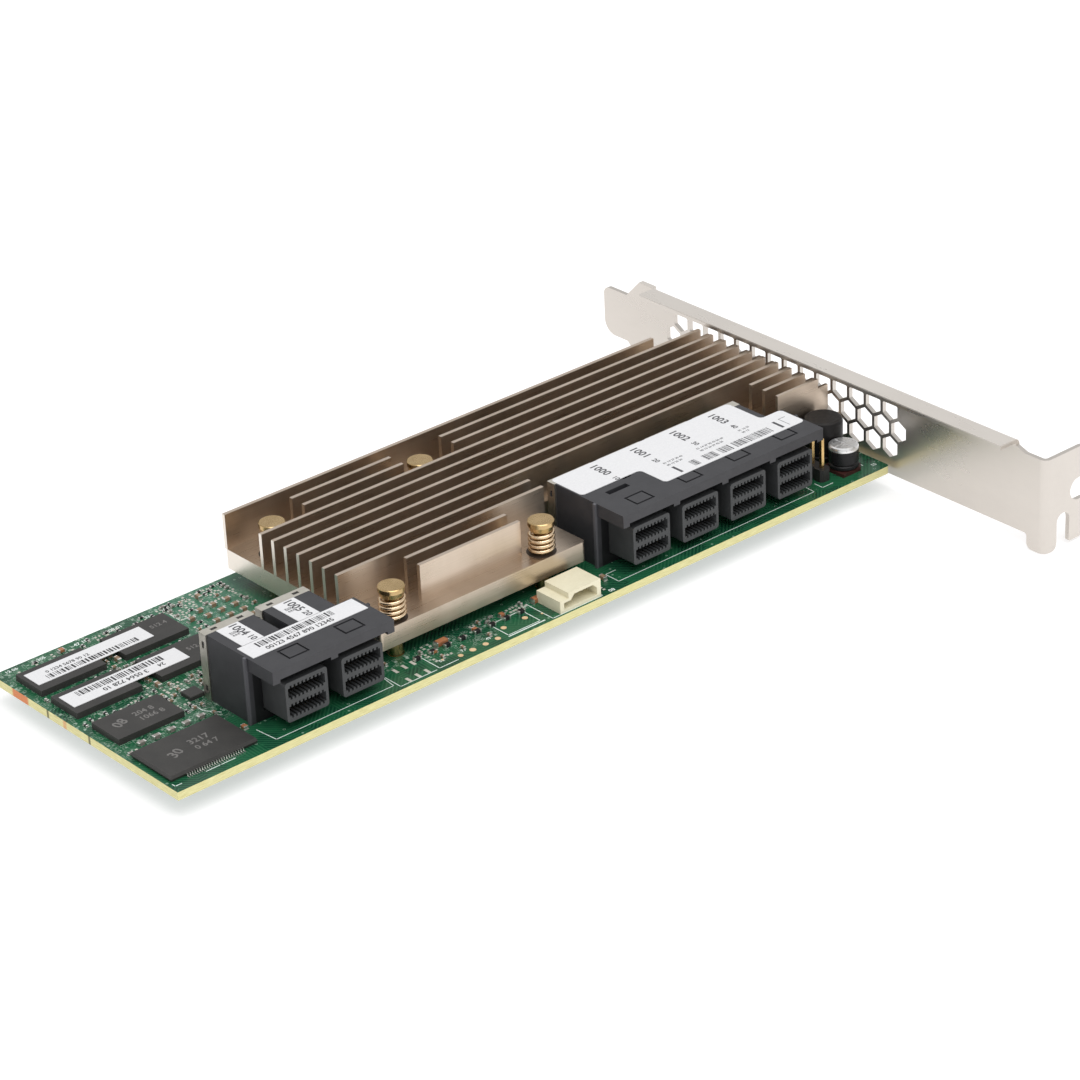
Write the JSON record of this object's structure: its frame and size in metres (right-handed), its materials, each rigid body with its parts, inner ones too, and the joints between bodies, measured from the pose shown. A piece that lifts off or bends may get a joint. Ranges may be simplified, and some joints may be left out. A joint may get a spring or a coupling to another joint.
{
  "type": "storage controller card",
  "caption": "Low-profile plug-in storage controller card with a finned heat sink, internal multi-lane ports and a vented full-height bracket.",
  "frame": {"origin": "near corner of the board's component face, at the end away from the bracket", "axes": "+X along the card towards the bracket, +Y from the port edge to the gold slot edge, +Z out of the component side"},
  "size_m": [0.18, 0.12, 0.0214],
  "materials": {
    "green_laminate": "green solder mask over glass laminate, pale yellow cut edges",
    "gold": "gold plating",
    "bracket_nickel": "nickel plated sheet, smooth to mirror-like",
    "sink_nickel": "champagne coloured plating, finely drawn",
    "brass": "turned brass",
    "spring_wire": "drawn wire",
    "steel_screw": "plated steel",
    "black_plastic": "black moulded plastic",
    "chip_resin": "dark grey chip resin, fine grain",
    "label_paper": "white printed label",
    "shield_metal": "tinned thin sheet",
    "cream_plastic": "cream moulded plastic",
    "tin": "bright tin",
    "capacitor_sleeve": "black sleeve",
    "capacitor_can": "bright rolled can",
    "ceramic": "tan ceramic with tinned ends",
    "resistor_body": "dark film with tinned ends",
    "thermal_pad": "grey soft pad"
  },
  "bodies": {
    "root": {"back_capacitors": "ceramic", "board": "green_laminate", "bracket": "bracket_nickel", "bracket_screws": "steel_screw", "can_capacitor": "capacitor_can", "can_capacitor_foot": "black_plastic", "crystal": "shield_metal", "dual_port_contacts": "gold", "dual_port_housing": "black_plastic", "dual_port_inserts": "black_plastic", "dual_port_label": "label_paper", "dual_port_shields": "shield_metal", "edge_capacitors": "ceramic", "edge_contacts": "gold", "expander_chip": "chip_resin", "expander_pad": "thermal_pad", "fan_header": "cream_plastic", "fan_header_pins": "tin", "field_resistors": "resistor_body", "flash_chip": "chip_resin", "flash_leads": "tin", "heat_sink": "sink_nickel", "jumper_base": "black_plastic", "jumper_pins": "gold", "memory_chip_1": "chip_resin", "memory_chip_2": "chip_resin", "memory_chip_3": "chip_resin", "memory_chip_4": "chip_resin", "memory_chip_5": "chip_resin", "memory_label_lower": "label_paper", "memory_label_upper": "label_paper", "monitor_chip": "chip_resin", "pin_springs": "spring_wire", "port_number_labels": "label_paper", "power_inductor": "chip_resin", "processor_pad": "thermal_pad", "quad_port_contacts": "gold", "quad_port_housing": "black_plastic", "quad_port_inserts": "black_plastic", "quad_port_label": "label_paper", "quad_port_shields": "shield_metal", "raid_processor": "chip_resin", "spring_pins": "brass", "tall_capacitor": "capacitor_sleeve"}
  },
  "joints": []
}
